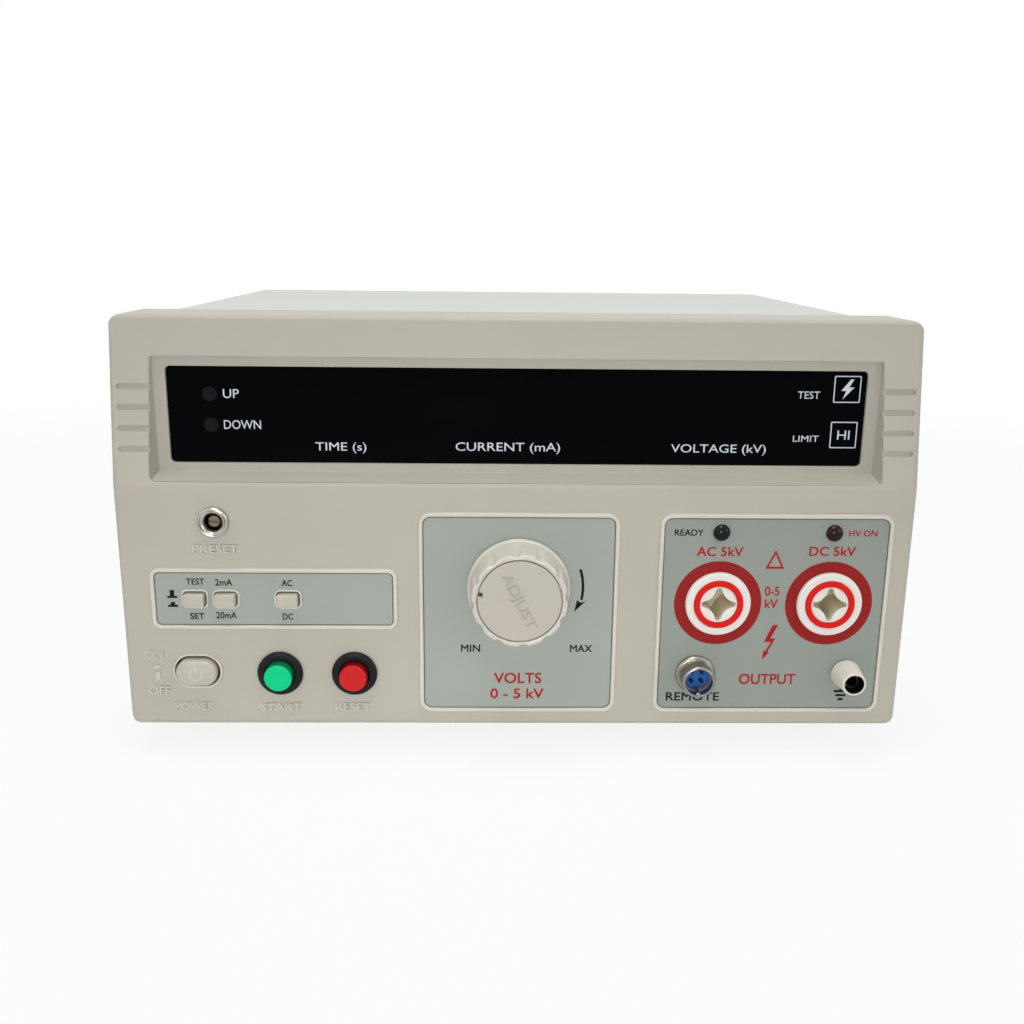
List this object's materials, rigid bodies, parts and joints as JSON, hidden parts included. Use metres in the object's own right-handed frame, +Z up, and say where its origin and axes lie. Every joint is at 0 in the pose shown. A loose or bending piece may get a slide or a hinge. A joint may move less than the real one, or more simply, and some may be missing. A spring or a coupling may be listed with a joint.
{
  "type": "hipot tester",
  "caption": "Bench high voltage tester with a leaning display bezel, voltage knob on a variable autotransformer, push switches and output sockets.",
  "frame": {"origin": "middle of the whole part's box at floor level, under the feet", "axes": "+X to the right seen from the front, +Y from the front panel to the rear, +Z up"},
  "size_m": [0.32, 0.283, 0.18],
  "materials": {
    "bezel": "fine satin moulded plastic",
    "window": "dark tinted acrylic",
    "label": "printed matt film",
    "cover_paint": "fine textured paint on steel sheet",
    "plated_steel": "zinc plated sheet",
    "rubber": "black rubber",
    "screw": "zinc plated",
    "board": "solder resist",
    "black_plastic": "black moulded plastic",
    "diffuser": "clear lamp lens",
    "aluminium": "cast and machined",
    "core_steel": "varnished laminations",
    "winding": "enamelled copper wire",
    "coil_wrap": "copper coil in yellow tape",
    "brass": "turned brass",
    "epoxy": "potting compound",
    "knob": "satin moulded plastic",
    "shaft": "ground steel",
    "carbon": "pressed carbon",
    "green": "translucent green cap",
    "red": "translucent red cap",
    "chrome": "bright nickel and chrome plate",
    "lamp_clear": "unlit clear lamp",
    "lamp_red": "unlit red lamp",
    "socket_white": "white insulating plastic",
    "bright_red": "red inlaid ring",
    "blue": "blue insulating insert",
    "contact": "plated contact",
    "off_white": "ribbed off white plastic",
    "trimmer": "trimmer body"
  },
  "bodies": {
    "case": {"front_bezel": "bezel", "display_window": "window", "switch_label": "label", "voltage_label": "label", "output_label": "label", "chassis": "plated_steel", "rear_panel": "cover_paint", "top_cover": "cover_paint", "feet": "rubber", "foot_screws": "screw", "case_screws": "screw", "display_board": "board", "digit_modules": "black_plastic", "display_lamps": "diffuser", "variac_base": "aluminium", "variac_core": "core_steel", "variac_winding": "winding", "variac_bushing": "brass", "transformer_core": "core_steel", "transformer_coil": "coil_wrap", "transformer_brackets": "plated_steel", "control_board": "board", "board_parts": "black_plastic", "rectifier_block": "epoxy", "power_switch": "black_plastic", "start_switch": "black_plastic", "reset_switch": "black_plastic", "selector_board": "board", "selector_switches": "black_plastic", "panel_nuts": "brass", "preset_ferrule": "chrome", "preset_body": "trimmer", "safety_lamp": "lamp_clear", "danger_lamp": "lamp_red", "output_socket_ac": "socket_white", "output_socket_dc": "socket_white", "socket_rings": "bright_red", "socket_contacts": "contact", "connector_shell": "chrome", "connector_insert": "blue", "connector_pins": "contact", "ground_stud": "contact", "mains_inlet": "black_plastic", "inlet_pins": "chrome"},
    "knob": {"knob": "knob", "knob_cap": "knob", "variac_shaft": "shaft", "brush_arm": "aluminium", "carbon_brush": "carbon"},
    "preset": {"preset_shaft": "brass"},
    "power": {"power_button": "knob"},
    "start": {"start_button": "green"},
    "reset": {"reset_button": "red"},
    "test": {"test_button": "knob"},
    "range": {"range_button": "knob"},
    "output": {"output_button": "knob"},
    "washer": {"ground_washer": "chrome"},
    "ground": {"ground_cap": "off_white"},
    "drawer": {"fuse_drawer": "black_plastic"}
  },
  "joints": [
    {"name": "knob_turn", "type": "hinge", "parent": "case", "child": "knob", "pos_m": [0.0006, -0.1335, 0.0727], "axis": [0, 1, 0], "range_deg": [0, 300]},
    {"name": "preset_turn", "type": "hinge", "parent": "case", "child": "preset", "pos_m": [-0.121, -0.1235, 0.0995], "axis": [0, 1, 0], "range_deg": [-135, 135]},
    {"name": "power_press", "type": "slide", "parent": "case", "child": "power", "axis": [0, 1, 0], "range_m": [0, 0.0025], "stiffness_N_per_m": 400},
    {"name": "start_press", "type": "slide", "parent": "case", "child": "start", "axis": [0, 1, 0], "range_m": [0, 0.0025], "stiffness_N_per_m": 400},
    {"name": "reset_press", "type": "slide", "parent": "case", "child": "reset", "axis": [0, 1, 0], "range_m": [0, 0.0025], "stiffness_N_per_m": 400},
    {"name": "test_press", "type": "slide", "parent": "case", "child": "test", "axis": [0, 1, 0], "range_m": [0, 0.0022], "stiffness_N_per_m": 300},
    {"name": "range_press", "type": "slide", "parent": "case", "child": "range", "axis": [0, 1, 0], "range_m": [0, 0.0022], "stiffness_N_per_m": 300},
    {"name": "output_press", "type": "slide", "parent": "case", "child": "output", "axis": [0, 1, 0], "range_m": [0, 0.0022], "stiffness_N_per_m": 300},
    {"name": "ground_lift", "type": "slide", "parent": "case", "child": "washer", "axis": [0, -1, 0], "range_m": [0, 0.0016]},
    {"name": "ground_turn", "type": "hinge", "parent": "washer", "child": "ground", "pos_m": [0.137, -0.1295, 0.0359], "axis": [0, -1, 0], "range_deg": [0, 722]},
    {"name": "drawer_slide", "type": "slide", "parent": "case", "child": "drawer", "axis": [0, 1, 0], "range_m": [0, 0.018]}
  ],
  "couplings": [
    {"joint": "ground_turn", "follows": "ground_lift", "rad_per_m": 7854}
  ]
}
